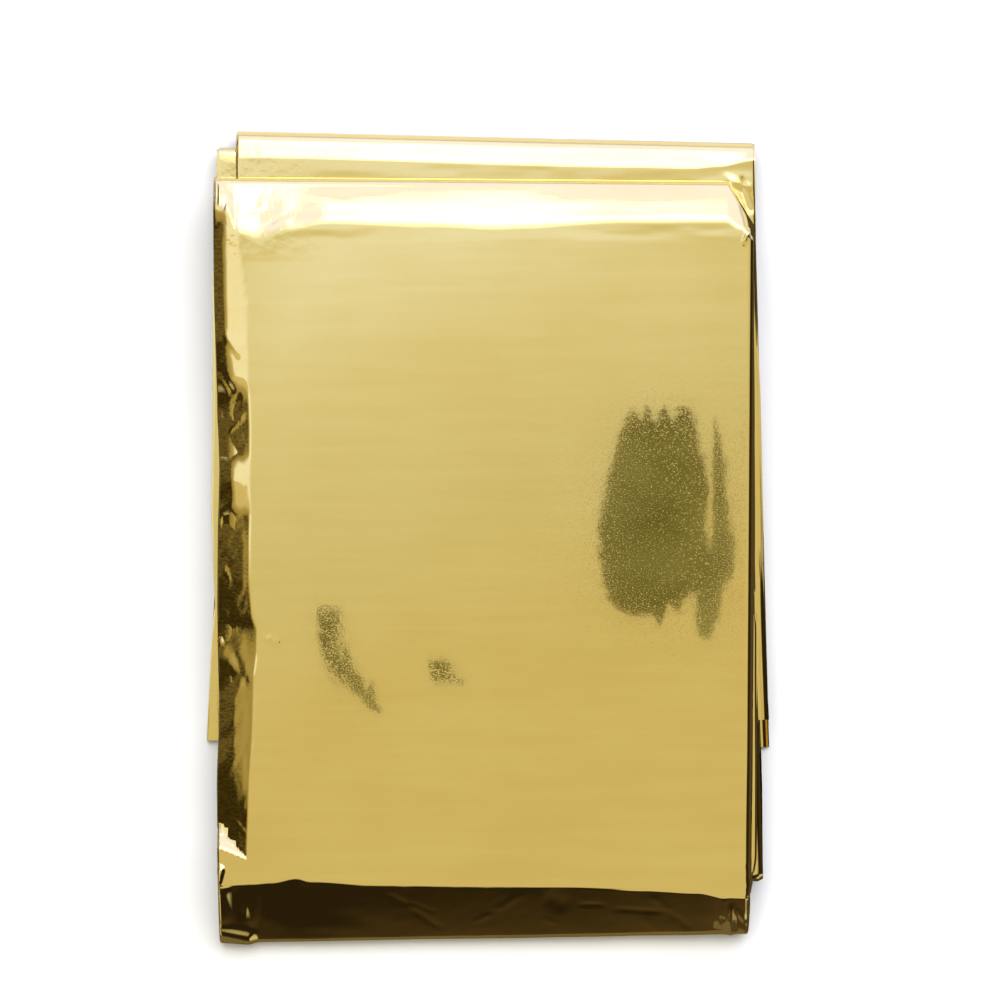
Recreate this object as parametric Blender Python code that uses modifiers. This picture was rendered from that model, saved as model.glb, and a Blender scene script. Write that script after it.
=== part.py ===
"""Emergency foil blanket, folded flat into a packet and lying on its back.

The sheet of thin film is pleated into a strip as wide as the packet, and the strip is then folded
back and forth into eight plies. The model is one closed solid that follows that path once, from the
strip's low end to its high end. Each ply stands for a bundle of film layers pressed together.

+X runs across the packet, +Y along it towards the two rounded top folds, and +Z up through the
plies. The origin is under the middle of the packet, on the surface that it lies on.
"""

from math import cos, pi, sin

import bpy
import numpy as np

# Driving dimensions, in metres.
PLY_THICKNESS = 0.0011
PLY_GAP = 0.0003
PLY_PITCH = PLY_THICKNESS + PLY_GAP
CROWN = 0.0005  # how much fuller the stack is in the middle than at its rim
LENGTH = 0.13365
WIDTH = 0.0930

# Distances along the packet, and from each side edge of the strip, at which the plies have points.
LOW_STATIONS = (0.014, 0.019, 0.024, 0.029, 0.0325)
HIGH_STATIONS = (0.050, 0.068, 0.086, 0.104, 0.112)
SHOULDER_STATIONS = (
    0.0155, 0.0175, 0.0215, 0.0273, 0.0338, 0.0403, 0.0444, 0.0476, 0.0542, 0.0599, 0.0664, 0.0720,
    0.0762, 0.0827, 0.0884, 0.0955,
)
LEFT_STATIONS = (0.0, 0.0010, 0.0022, 0.0036, 0.0052, 0.0068, 0.0110, 0.0210, 0.0330)
RIGHT_STATIONS = (0.0, 0.0010, 0.0022, 0.0036, 0.0052, 0.0110, 0.0330)
STATION_CLEARANCE = 0.0015  # from a turn to the ply's first station

# The plies settle where the two short ones have ended.
SETTLE_START = 0.0320
SETTLE_LENGTH = 0.0215

# The side edges droop all along the packet, but not at the top folds' tips.
DROOP_FULL = 0.1190
DROOP_NONE = 0.1240
DROOP_POWER = 1.6
LEFT_DROOP_WIDTH = 0.0058
RIGHT_DROOP_WIDTH = 0.0016

# The top ply's left shoulder along the packet: where it starts, how far inside that it has reached
# its slope, that slope, where it starts to steepen, where it is dark, and how steep it gets.
SHOULDER_COLUMNS = ("y", "start", "ease", "slope", "steep", "dark", "limit")
SHOULDER = (
    (0.0160, 0.0072, 0.0001, 0.42, 0.0060, 0.0056, 0.48),
    (0.0215, 0.0074, 0.0001, 0.43, 0.0060, 0.0058, 0.47),
    (0.0273, 0.0076, 0.0001, 0.39, 0.0055, 0.0042, 0.60),
    (0.0338, 0.0081, 0.0001, 0.36, 0.0047, 0.0043, 0.60),
    (0.0403, 0.0083, 0.0001, 0.36, 0.0049, 0.0045, 0.60),
    (0.0444, 0.0084, 0.0001, 0.34, 0.0072, 0.0066, 0.46),
    (0.0476, 0.0088, 0.0001, 0.36, 0.0036, 0.0030, 0.45),
    (0.0520, 0.0089, 0.0001, 0.42, 0.0048, 0.0040, 0.47),
    (0.0542, 0.0081, 0.0001, 0.42, 0.0038, 0.0034, 0.60),
    (0.0599, 0.0076, 0.0001, 0.41, 0.0034, 0.0031, 0.60),
    (0.0664, 0.0076, 0.0001, 0.41, 0.0036, 0.0033, 0.60),
    (0.0705, 0.0077, 0.0001, 0.22, 0.0067, 0.0050, 0.55),
    (0.0762, 0.0077, 0.0006, 0.14, 0.0050, 0.0043, 0.50),
    (0.0794, 0.0077, 0.0006, 0.19, 0.0060, 0.0038, 0.48),
    (0.0827, 0.0077, 0.0005, 0.28, 0.0050, 0.0038, 0.46),
    (0.0860, 0.0077, 0.0006, 0.18, 0.0062, 0.0050, 0.52),
    (0.0884, 0.0076, 0.0008, 0.16, 0.0060, 0.0046, 0.60),
    (0.0925, 0.0074, 0.0010, 0.16, 0.0059, 0.0032, 0.50),
    (0.0990, 0.0074, 0.0012, 0.15, 0.0045, 0.0035, 0.47),
    (0.1055, 0.0074, 0.0015, 0.14, 0.0044, 0.0033, 0.60),
    (0.1153, 0.0060, 0.0010, 0.16, 0.0043, 0.0031, 0.60),
    (0.1194, 0.0059, 0.0015, 0.16, 0.0041, 0.0034, 0.35),
)
DARK_SLOPE = 0.45  # how steep the steep part is at "dark"; it stops growing at "limit"
SHOULDER_END = 0.0153  # the shoulder rises here to a flat corner
SHOULDER_END_SLOPE = 0.75

# How far the side edges of some plies stray from a straight line, along the packet.
STRAY_POWER = 12.0
LEFT_STRAYS = {
    1: (
        (0.0, 0.0), (0.0360, 0.0), (0.0600, -0.0008), (0.0780, -0.00145), (0.0890, -0.0011),
        (0.1100, -0.0008), (0.1310, 0.0),
    ),
    6: (
        (0.0, 0.0), (0.0120, 0.0), (0.0300, 0.0010), (0.0400, 0.0016), (0.0560, 0.0016), (0.0680, 0.0004),
        (0.1170, 0.0),
    ),
    7: (
        (0.0, 0.0), (0.0240, -0.0001), (0.0400, 0.0004), (0.0560, 0.0003), (0.0660, 0.0004),
        (0.0770, 0.0008), (0.0890, 0.0004), (0.1100, 0.0), (0.1260, 0.0),
    ),
}
RIGHT_STRAYS = {
    7: (
        (0.0, 0.0), (0.0082, 0.0), (0.0130, 0.0006), (0.0600, 0.0004), (0.1050, 0.0), (0.1260, 0.0),
    ),
}

# A row for each ply, from the lowest one up: how far it settles at the bottom end, and how far its
# left and right edges droop.
PLY_COLUMNS = ("settle", "left_droop", "right_droop")
PLIES = (
    (0.0, 0.0, 0.0),
    (0.0013, 0.0, 0.0),
    (0.00125, 0.0, 0.0),
    (0.0012, 0.0002, 0.0001),
    (0.0, 0.0006, 0.0001),
    (0.0019, 0.0, 0.0001),
    (0.0018, 0.0, 0.0001),
    (0.0017, 0.0029, 0.0014),
)

# The strip's turns in order along it, from its low free end to its high one. "ply" is the level of
# the ply that leaves the turn. left and right are the strip's edges there, and tip_left and
# tip_right are how far along the packet the outside of the turn lies. reach_left and reach_right
# are how far its slope runs back from the tip, crease is the radius above that slope, and nose_left
# and nose_right are the ones below it. A turn with no reach is a half circle.
TURN_COLUMNS = (
    "name", "ply", "left", "right", "tip_left", "tip_right",
    "reach_left", "reach_right", "crease", "nose_left", "nose_right",
)
TURNS = (
    ("low_end", 0, 0.0, 0.0927, 0.0333, 0.0322, 0.0, 0.0, 0.0, 0.0, 0.0),
    ("rear_outer", 3, 0.0050, 0.0901, 0.13365, 0.1316, 0.0042, 0.0042, 0.0022, 0.0018, 0.0018),
    ("bottom_inner", 5, 0.0062, 0.0915, 0.0096, 0.0102, 0.0, 0.0, 0.0, 0.0, 0.0),
    ("front_inner", 6, 0.0080, 0.0883, 0.1170, 0.1140, 0.0, 0.0, 0.0, 0.0, 0.0),
    ("bottom_middle", 2, 0.0078, 0.0878, 0.0058, 0.0064, 0.0048, 0.0018, 0.0010, 0.0012, 0.0012),
    ("rear_inner", 1, 0.0017, 0.0888, 0.1310, 0.1295, 0.0, 0.0, 0.0, 0.0, 0.0),
    ("bottom_outer", 7, 0.0022, 0.0891, 0.0, 0.0016, 0.0, 0.0, 0.0007, 0.0010, 0.0016),
    ("front_outer", 4, 0.0015, 0.0898, 0.1258, 0.1251, 0.0, 0.0, 0.0095, 0.0011, 0.0011),
    ("high_end", None, 0.0040, 0.0925, 0.0369, 0.0369, 0.0, 0.0, 0.0, 0.0, 0.0),
)
SLOPE_POWER = 4.0  # the slopes keep their left end's form until near the right edge
CREASE_LIMIT = 0.0009  # a crease above a short slope is tighter, but not below this
CREASE_STEPS = 2
NOSE_STEPS = 5

# The right end of the outer front fold is crushed back to a slanted corner.
CUT_TURN = "front_outer"
CUT_WIDTH = 0.0043
CUT_DEPTH = 0.0076
CUT_NOSE = 0.0008  # how much rounder its nose is

# Where the two outer folds' creases lie, as (x, y) places. The reach runs from there to the tip.
CREASE_LINES = {
    "bottom_outer": (
        (0.0022, 0.0096), (0.0080, 0.0099), (0.0110, 0.0101), (0.0150, 0.0108), (0.0172, 0.0103),
        (0.0280, 0.0097), (0.0445, 0.0095), (0.0595, 0.0094), (0.0716, 0.0091), (0.0806, 0.0087),
        (0.0850, 0.0080), (0.0891, 0.0079),
    ),
    "front_outer": (
        (0.0012, 0.1206), (0.0036, 0.1203), (0.0052, 0.1168), (0.0085, 0.1156), (0.0140, 0.1172),
        (0.0200, 0.1183), (0.0340, 0.1177), (0.0480, 0.1173), (0.0700, 0.1184), (0.0850, 0.1185),
        (0.0875, 0.1175), (0.0902, 0.1148),
    ),
}

FOIL_COLOUR = (0.70, 0.52, 0.18, 1.0)
FOIL_ROUGHNESS = 0.2


def smoothstep(value):
    value = np.clip(value, 0.0, 1.0)
    return value * value * (3.0 - 2.0 * value)


def eased(table, place):
    """A smooth line through a table's (place, value) rows, level at each of them."""
    places, values = np.array(table).T
    step = np.clip(np.searchsorted(places, place) - 1, 0, len(places) - 2)
    share = smoothstep((place - places[step]) / (places[step + 1] - places[step]))
    return values[step] + (values[step + 1] - values[step]) * share


def ply_row(level):
    return dict(zip(PLY_COLUMNS, PLIES[level]))


def ply_height(level, x, y):
    """The height of a ply's middle surface, before its edges droop."""
    rim = (2.0 * x / WIDTH - 1.0) ** 2 + (2.0 * y / LENGTH - 1.0) ** 2
    height = PLY_THICKNESS / 2.0 + level * PLY_PITCH
    height = height - CROWN * level / (len(PLIES) - 1) * rim / (1.0 + rim**8) ** 0.125
    return height - ply_row(level)["settle"] * smoothstep((SETTLE_START - y) / SETTLE_LENGTH)


def shoulder_droop(x, y):
    """How far the top ply droops along its left edge: gently at first, then steeply."""
    rows = np.array(SHOULDER)
    sizes = [np.interp(y, rows[:, 0], rows[:, column]) for column in range(1, len(SHOULDER_COLUMNS))]
    start, ease, slope, steep, dark, limit = sizes
    run = np.maximum(start - x, 0.0)
    easing = np.minimum(run, ease)
    droop = slope * (easing**2 / (2.0 * ease) + run - easing)
    growth = (DARK_SLOPE - slope) / (steep - dark)
    beyond = np.maximum(steep - x, 0.0)
    growing = np.minimum(beyond, (limit - slope) / growth)
    droop = droop + growth * growing * (beyond - growing / 2.0)
    return np.minimum(droop, SHOULDER_END_SLOPE * np.maximum(y - SHOULDER_END, 0.0))


def edge_droop(level, x, y):
    """How far a ply droops at each column of a cross row, from its two side edges inwards."""
    row = ply_row(level)
    from_left = np.clip(1.0 - (x - x[0]) / LEFT_DROOP_WIDTH, 0.0, 1.0)
    from_right = np.clip(1.0 - (x[-1] - x) / RIGHT_DROOP_WIDTH, 0.0, 1.0)
    droop = row["left_droop"] * from_left**DROOP_POWER
    if level == len(PLIES) - 1:
        droop = shoulder_droop(x, y)
    droop = droop + row["right_droop"] * from_right**DROOP_POWER
    return droop * (1.0 - smoothstep((y - DROOP_FULL) / (DROOP_NONE - DROOP_FULL)))


def slope_angle(height, reach, crease, nose):
    """The angle of the straight slope between a fold's crease arc and its nose arc."""
    low, high = 0.0, pi / 2.0
    for _ in range(50):
        angle = (low + high) / 2.0
        rise = height - crease * (1.0 - cos(angle)) - nose * (1.0 + cos(angle))
        run = reach - crease * sin(angle) - nose * (1.0 - sin(angle))
        if rise * cos(angle) > run * sin(angle):
            low = angle
        else:
            high = angle
    return (low + high) / 2.0


def fold_section(height, reach, crease, nose):
    """Points of a fold's section from its upper ply to its lower one, as (run, drop)."""
    is_round = reach <= nose
    if is_round:
        angle = pi * CREASE_STEPS / (CREASE_STEPS + NOSE_STEPS)
    else:
        angle = slope_angle(height, reach, crease, nose)
    points = []
    for turn in np.linspace(0.0, angle, CREASE_STEPS + 1):
        points.append((crease * sin(turn), crease * (1.0 - cos(turn))))
    for turn in np.linspace(angle, pi, NOSE_STEPS + 1)[1 if is_round else 0:]:
        points.append((reach - nose + nose * sin(turn), height - nose - nose * cos(turn)))
    return points


def column_shares():
    """Where the columns lie across the strip, as shares of its width."""
    left, right = np.array(LEFT_STATIONS) / WIDTH, np.array(RIGHT_STATIONS) / WIDTH
    return np.concatenate((left, [0.5], 1.0 - right[::-1]))


def turn_lines(row, shares):
    """A turn's x, its tip's y, its slope's reach and its nose's radius, at each column."""
    x = row["left"] + (row["right"] - row["left"]) * shares
    tip = row["tip_left"] + (row["tip_right"] - row["tip_left"]) * shares
    to_right = shares**SLOPE_POWER
    reach = row["reach_left"] + (row["reach_right"] - row["reach_left"]) * to_right
    nose = row["nose_left"] + (row["nose_right"] - row["nose_left"]) * to_right
    if row["name"] == CUT_TURN:
        cut = np.clip((x - row["right"]) / CUT_WIDTH + 1.0, 0.0, 1.0)
        tip = tip - CUT_DEPTH * cut
        nose = nose + CUT_NOSE * np.minimum(cut * 3.0, 1.0)
    if row["name"] in CREASE_LINES:
        reach = np.abs(tip - eased(CREASE_LINES[row["name"]], x))
    return x, tip, reach, nose


def turn_rows(row, arriving):
    """A turn's cross rows of points in the order of the strip, from the ply that arrives at it."""
    x, tip, reach, nose = turn_lines(row, column_shares())
    if arriving is None or row["ply"] is None:
        level = row["ply"] if arriving is None else arriving
        height = ply_height(level, x, tip) - edge_droop(level, x, tip)
        return [np.stack((x, tip, height), axis=1)]
    upper, lower = max(arriving, row["ply"]), min(arriving, row["ply"])
    outward = 1.0 if tip[0] > LENGTH / 2.0 else -1.0
    tip = tip - outward * PLY_THICKNESS / 2.0
    tight = (ply_height(upper, x, tip) - ply_height(lower, x, tip)) / 2.0
    reach = np.where(reach > 0.0, reach, tight)
    nose = np.where(nose > 0.0, nose, tight)
    crease = np.maximum(row["crease"] * (reach / np.max(reach)) ** 2, CREASE_LIMIT)
    crease = np.where(row["crease"] > 0.0, np.minimum(crease, row["crease"]), tight)
    start_y = tip - outward * reach
    start_z = ply_height(upper, x, start_y)
    height = start_z - ply_height(lower, x, tip - outward * nose)
    sections = np.array([fold_section(*sizes) for sizes in zip(height, reach, crease, nose)])
    rows = []
    for step in range(sections.shape[1]):
        y = start_y + outward * sections[:, step, 0]
        drop = sections[:, step, 1]
        share = np.minimum(drop / (height - nose), 1.0)
        droop = edge_droop(upper, x, y) * (1.0 - share) + edge_droop(lower, x, y) * share
        rows.append(np.stack((x, y, start_z - drop - droop), axis=1))
    return rows if arriving == upper else rows[::-1]


def edge_stray(level, y, shares):
    """How far a ply's columns lie off their straight lines, most at its side edges."""
    stray = np.zeros_like(y)
    if level in LEFT_STRAYS:
        stray = stray + eased(LEFT_STRAYS[level], y) * (1.0 - shares) ** STRAY_POWER
    if level in RIGHT_STRAYS:
        stray = stray + eased(RIGHT_STRAYS[level], y) * shares**STRAY_POWER
    return stray


def straight_rows(level, last_row, next_row):
    """A ply's cross rows between two turns."""
    low = min(last_row[:, 1].min(), next_row[:, 1].min())
    stations = LOW_STATIONS + HIGH_STATIONS
    if level == len(PLIES) - 1:
        stations += SHOULDER_STATIONS
    stations = sorted(y for y in stations if y > low + STATION_CLEARANCE)
    if last_row[0, 1] > next_row[0, 1]:
        stations.reverse()
    rows = []
    for station in stations:
        share = (station - last_row[:, 1]) / (next_row[:, 1] - last_row[:, 1])
        x = last_row[:, 0] + (next_row[:, 0] - last_row[:, 0]) * share
        y = np.full_like(x, station)
        x = x + edge_stray(level, y, column_shares())
        rows.append(np.stack((x, y, ply_height(level, x, y) - edge_droop(level, x, y)), axis=1))
    return rows


def strip_rows():
    """The whole strip's cross rows, from its low free end to its high one."""
    turns = [dict(zip(TURN_COLUMNS, values)) for values in TURNS]
    rows = turn_rows(turns[0], None)
    for last, turn in zip(turns, turns[1:]):
        arriving = turn_rows(turn, last["ply"])
        rows += straight_rows(last["ply"], rows[-1], arriving[0])
        rows += arriving
    return np.array(rows)


def foil_material():
    material = bpy.data.materials.new("gold_foil")
    material.use_nodes = True
    shader = material.node_tree.nodes["Principled BSDF"]
    shader.inputs["Base Color"].default_value = FOIL_COLOUR
    shader.inputs["Metallic"].default_value = 1.0
    shader.inputs["Roughness"].default_value = FOIL_ROUGHNESS
    return material


def make_blanket(collection):
    """The folded strip: a flat grid whose rows are laid along the folded path, made solid."""
    rows = strip_rows()
    bpy.ops.mesh.primitive_grid_add(x_subdivisions=rows.shape[1] - 1, y_subdivisions=rows.shape[0] - 1)
    blanket = bpy.context.object
    blanket.name = "foil_blanket"
    places = rows.reshape(-1, 3) - (WIDTH / 2.0, LENGTH / 2.0, 0.0)
    blanket.data.vertices.foreach_set("co", places.ravel())
    blanket.data.update()
    solidify = blanket.modifiers.new("Ply thickness", "SOLIDIFY")
    solidify.thickness = PLY_THICKNESS
    solidify.offset = 0.0
    blanket.data.materials.append(foil_material())
    blanket.data.shade_smooth()
    for other in blanket.users_collection:
        other.objects.unlink(blanket)
    collection.objects.link(blanket)


def clear_scene():
    for item in list(bpy.data.objects):
        bpy.data.objects.remove(item, do_unlink=True)


def main():
    clear_scene()
    collection = bpy.data.collections.new("Emergency foil blanket")
    bpy.context.scene.collection.children.link(collection)
    make_blanket(collection)


if __name__ == "__main__":
    main()
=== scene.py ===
"""Emergency foil blanket: the looks of a sheet of gold film, folded flat into a packet.

The sheet is pleated into a strip, and the strip is folded back and forth into eight plies, which lie
a little apart. Three pieces follow that one path: all the film inside and between the plies, and the
outermost film of the front and of the back, which carry the creases, pinches and rolled edges.

Places on the packet are measured in metres from its left edge (x), from its bottom end (y) and from
the surface that it lies on (z).
"""

from math import cos, pi, radians, sin

import bpy
import numpy as np
from bpy.props import FloatProperty, FloatVectorProperty, IntProperty, PointerProperty
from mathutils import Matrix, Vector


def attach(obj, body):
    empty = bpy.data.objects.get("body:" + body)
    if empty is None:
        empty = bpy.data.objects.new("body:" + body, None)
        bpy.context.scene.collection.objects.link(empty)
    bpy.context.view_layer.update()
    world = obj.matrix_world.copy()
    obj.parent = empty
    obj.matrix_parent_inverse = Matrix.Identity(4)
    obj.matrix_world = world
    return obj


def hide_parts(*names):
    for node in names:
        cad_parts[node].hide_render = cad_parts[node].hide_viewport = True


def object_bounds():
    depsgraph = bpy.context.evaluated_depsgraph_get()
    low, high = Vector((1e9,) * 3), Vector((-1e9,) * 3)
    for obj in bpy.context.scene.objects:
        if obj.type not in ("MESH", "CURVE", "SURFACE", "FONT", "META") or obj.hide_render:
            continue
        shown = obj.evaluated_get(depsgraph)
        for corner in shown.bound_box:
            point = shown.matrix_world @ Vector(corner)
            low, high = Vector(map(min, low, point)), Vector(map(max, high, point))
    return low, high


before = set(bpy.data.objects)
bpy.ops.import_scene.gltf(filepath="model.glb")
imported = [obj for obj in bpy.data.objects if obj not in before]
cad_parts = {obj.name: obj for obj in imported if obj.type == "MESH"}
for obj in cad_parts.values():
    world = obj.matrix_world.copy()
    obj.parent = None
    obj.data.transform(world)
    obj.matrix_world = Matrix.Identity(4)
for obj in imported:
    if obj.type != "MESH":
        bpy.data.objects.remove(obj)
CAD_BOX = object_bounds()

bl_info = {
    "name": "Emergency Foil Blanket",
    "version": (1, 0, 0),
    "blender": (4, 5, 0),
    "location": "3D View > Sidebar > Foil Blanket",
    "description": "Makes the creased gold film of a folded foil blanket round its solid",
    "category": "Mesh",
}

BODY = "root"
NODE = "foil_blanket"
FILM_MATERIAL = "gold_film"
PACKET_CORNER = np.array((CAD_BOX[0].x, CAD_BOX[0].y, 0.0))
PACKET_WIDTH = 0.0930
PACKET_LENGTH = 0.13365
FILM_CLEARANCE = 0.00003  # the lowest film is this far off the floor
SKIN_SHARP_ANGLE = radians(80.0)
LAYER_SHARP_ANGLE = radians(50.0)

# The plies from the lowest one up: how far each settles at the bottom end, where the two short plies
# have ended, and how far its left and right edges droop.
PLY_COLUMNS = ("settle", "left_droop", "right_droop")
PLIES = (
    (0.0, 0.0, 0.0),
    (0.0013, 0.0, 0.0),
    (0.00125, 0.0, 0.0),
    (0.0012, 0.0002, 0.0001),
    (0.0, 0.0006, 0.0001),
    (0.0019, 0.0, 0.0001),
    (0.0018, 0.0, 0.0001),
    (0.0017, 0.0029, 0.0010),
)
TOP_PLY = len(PLIES) - 1
SETTLE_SPAN = (0.0320, 0.0105)
DROOP_SPAN = (0.1240, 0.1190)  # the edges droop no longer past the first of these
DROOP_POWER = 1.6
RIM_POWER = 8.0  # the crown falls off like a dome's inside, and levels out towards the corners
LEFT_DROOP_WIDTH = 0.0058
RIGHT_DROOP_WIDTH = 0.0008

# The top ply's left shoulder along the packet: where it starts, how far inside that it has reached
# its slope, that slope, where it starts to steepen, where it is dark, and how steep it gets.
SHOULDER_COLUMNS = ("y", "start", "ease", "slope", "steep", "dark", "limit")
SHOULDER = (
    (0.0160, 0.0072, 0.0001, 0.42, 0.0060, 0.0056, 0.48),
    (0.0215, 0.0074, 0.0001, 0.43, 0.0060, 0.0058, 0.47),
    (0.0273, 0.0076, 0.0001, 0.39, 0.0055, 0.0042, 0.60),
    (0.0338, 0.0081, 0.0001, 0.36, 0.0053, 0.0049, 0.60),
    (0.0403, 0.0083, 0.0001, 0.36, 0.0054, 0.0050, 0.60),
    (0.0444, 0.0084, 0.0001, 0.34, 0.0072, 0.0066, 0.46),
    (0.0476, 0.0088, 0.0001, 0.36, 0.0036, 0.0030, 0.45),
    (0.0520, 0.0089, 0.0001, 0.42, 0.0048, 0.0040, 0.47),
    (0.0542, 0.0081, 0.0001, 0.42, 0.0038, 0.0034, 0.60),
    (0.0599, 0.0076, 0.0001, 0.425, 0.0034, 0.0031, 0.60),
    (0.0664, 0.0076, 0.0001, 0.425, 0.0036, 0.0033, 0.60),
    (0.0702, 0.0077, 0.0001, 0.425, 0.0040, 0.0036, 0.60),
    (0.0722, 0.0077, 0.0002, 0.18, 0.0058, 0.0048, 0.72),
    (0.0762, 0.0077, 0.0006, 0.15, 0.0053, 0.0046, 0.72),
    (0.0788, 0.0077, 0.0004, 0.18, 0.0058, 0.0044, 0.66),
    (0.0806, 0.0077, 0.0001, 0.41, 0.0050, 0.0040, 0.50),
    (0.0830, 0.0077, 0.0001, 0.42, 0.0048, 0.0040, 0.50),
    (0.0850, 0.0077, 0.0001, 0.44, 0.0050, 0.0044, 0.56),
    (0.0884, 0.0076, 0.0001, 0.44, 0.0046, 0.0040, 0.56),
    (0.0904, 0.0075, 0.0002, 0.38, 0.0052, 0.0042, 0.60),
    (0.0924, 0.0074, 0.0008, 0.17, 0.0059, 0.0038, 0.66),
    (0.0990, 0.0074, 0.0012, 0.15, 0.0045, 0.0035, 0.47),
    (0.1055, 0.0074, 0.0015, 0.14, 0.0044, 0.0033, 0.60),
    (0.1153, 0.0060, 0.0010, 0.16, 0.0043, 0.0031, 0.60),
    (0.1194, 0.0059, 0.0015, 0.16, 0.0041, 0.0034, 0.35),
)
DARK_SLOPE = 0.45  # how steep the steep part is at "dark"; it stops growing at "limit"
SHOULDER_END = 0.0171  # the shoulder rises here to a flat corner, further down away from the edge
SHOULDER_END_SKEW = 0.40
SHOULDER_END_SLOPE = 0.77

# How far the side edges of some plies stray from a straight line, along the packet.
STRAY_POWER = 12.0
LEFT_STRAYS = {
    1: (
        (0.0, 0.0), (0.0360, 0.0), (0.0600, -0.0008), (0.0780, -0.00145), (0.0890, -0.0011),
        (0.1100, -0.0008), (0.1310, 0.0),
    ),
    6: (
        (0.0, 0.0), (0.0120, 0.0), (0.0300, 0.0010), (0.0400, 0.0016), (0.0560, 0.0016),
        (0.0680, 0.0004), (0.1170, 0.0),
    ),
    7: (
        (0.0, 0.0), (0.0240, -0.0001), (0.0400, 0.0004), (0.0560, 0.0003), (0.0660, 0.0004),
        (0.0770, 0.0008), (0.0890, 0.0004), (0.1100, 0.0), (0.1260, 0.0),
    ),
}
RIGHT_STRAYS = {
    7: (
        (0.0, 0.0), (0.0070, 0.0), (0.0150, 0.0012), (0.0500, 0.0009), (0.0640, 0.0004),
        (0.1050, 0.0), (0.1260, 0.0),
    ),
}

# The strip's turns in order along it. "ply" is the ply that leaves the turn, left and right are the
# strip's edges there, and tip_left and tip_right are how far along the packet its outside lies. The
# reaches are how far its slope runs back from the tip, crease is the radius above that slope, and
# the noses are the ones below it. A turn with no reach is a half circle.
TURN_COLUMNS = (
    "name", "ply", "left", "right", "tip_left", "tip_right",
    "reach_left", "reach_right", "crease", "nose_left", "nose_right",
)
TURNS = (
    ("low_end", 0, 0.0, 0.0927, 0.0333, 0.0322, 0.0, 0.0, 0.0, 0.0, 0.0),
    ("rear_outer", 3, 0.0050, 0.0901, 0.13365, 0.1316, 0.0042, 0.0042, 0.0022, 0.0018, 0.0018),
    ("bottom_inner", 5, 0.0062, 0.0915, 0.0096, 0.0102, 0.0, 0.0, 0.0, 0.0, 0.0),
    ("front_inner", 6, 0.0080, 0.0883, 0.1170, 0.1140, 0.0, 0.0, 0.0, 0.0, 0.0),
    ("bottom_middle", 2, 0.0078, 0.0878, 0.0058, 0.0064, 0.0048, 0.0018, 0.0010, 0.0012, 0.0012),
    ("rear_inner", 1, 0.0017, 0.0888, 0.1310, 0.1295, 0.0, 0.0, 0.0, 0.0, 0.0),
    ("bottom_outer", 7, 0.0022, 0.0891, 0.0, 0.0016, 0.0, 0.0, 0.0007, 0.0010, 0.0016),
    ("front_outer", 4, 0.0015, 0.0898, 0.1258, 0.1251, 0.0, 0.0, 0.0095, 0.0011, 0.0011),
    ("high_end", None, 0.0040, 0.0925, 0.0369, 0.0369, 0.0, 0.0, 0.0, 0.0, 0.0),
)
SLOPE_POWER = 4.0  # the slopes keep their left end's form until near the right edge
CREASE_LIMIT = 0.0009  # a crease above a short slope is tighter, but not below this
CUT_TURN = "front_outer"  # its right end is crushed back to a slanted corner
CUT_WIDTH = 0.0043
CUT_DEPTH = 0.0076
CUT_NOSE = 0.0002  # how much rounder its nose is
CUT_NOSE_RATE = 3.0  # that is full at a third of the cut's depth

# Where the two outer folds' creases lie, as (x, y) places. The reach runs from there to the tip.
CREASE_LINES = {
    "rear_outer": (
        (0.0050, 0.12945), (0.0700, 0.1279), (0.0800, 0.1277), (0.0840, 0.1280), (0.0901, 0.1291),
    ),
    "bottom_outer": (
        (0.0022, 0.0096), (0.0080, 0.0099), (0.0110, 0.0101), (0.0150, 0.0108), (0.0172, 0.0103),
        (0.0280, 0.0097), (0.0445, 0.0095), (0.0595, 0.0094), (0.0716, 0.0091), (0.0806, 0.0087),
        (0.0850, 0.0080), (0.0891, 0.0079),
    ),
    "front_outer": (
        (0.0012, 0.1206), (0.0036, 0.1203), (0.0052, 0.1168), (0.0085, 0.1156), (0.0140, 0.1172),
        (0.0200, 0.1183), (0.0340, 0.1177), (0.0480, 0.1173), (0.0700, 0.1184), (0.0850, 0.1185),
        (0.0875, 0.1175), (0.0902, 0.1148),
    ),
}


def smoothstep(value):
    """A gentle rise from 0 to 1, level at both ends."""
    value = np.clip(value, 0.0, 1.0)
    return value * value * (3.0 - 2.0 * value)


def fade(value, span):
    """How far a value has come from the span's first end to its other one, gently from 0 to 1."""
    return smoothstep((value - span[0]) / (span[1] - span[0]))


def eased(table, place):
    """A smooth line through a table's (place, value) rows, level at each of them."""
    places, values = np.array(table).T
    step = np.clip(np.searchsorted(places, place) - 1, 0, len(places) - 2)
    share = smoothstep((place - places[step]) / (places[step + 1] - places[step]))
    return values[step] + (values[step + 1] - values[step]) * share


LEAST_LENGTH = 1e-15  # what a length of nothing is divided by


def unit(vectors):
    """The same directions at a length of 1."""
    return vectors / np.maximum(np.linalg.norm(vectors, axis=-1, keepdims=True), LEAST_LENGTH)


LATTICE = 64  # cells of the noise before it repeats
LATTICE_PLACE = (7.3, 5.1)


def soft_noise(x, y, size_x, size_y, seed):
    """Smooth waves between -1 and 1, about size_x by size_y metres."""
    lattice = np.random.default_rng(seed).uniform(-1.0, 1.0, (LATTICE, LATTICE))
    across, along = x / size_x + LATTICE_PLACE[0], y / size_y + LATTICE_PLACE[1]
    column, row = np.floor(across).astype(int), np.floor(along).astype(int)
    share_x, share_y = smoothstep(across - column), smoothstep(along - row)
    near, far = [
        lattice[(row + step) % LATTICE, column % LATTICE] * (1.0 - share_x)
        + lattice[(row + step) % LATTICE, (column + 1) % LATTICE] * share_x
        for step in (0, 1)
    ]
    return near * (1.0 - share_y) + far * share_y


# ---------------------------------------------------------------------------
# The path of the strip
# ---------------------------------------------------------------------------

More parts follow.
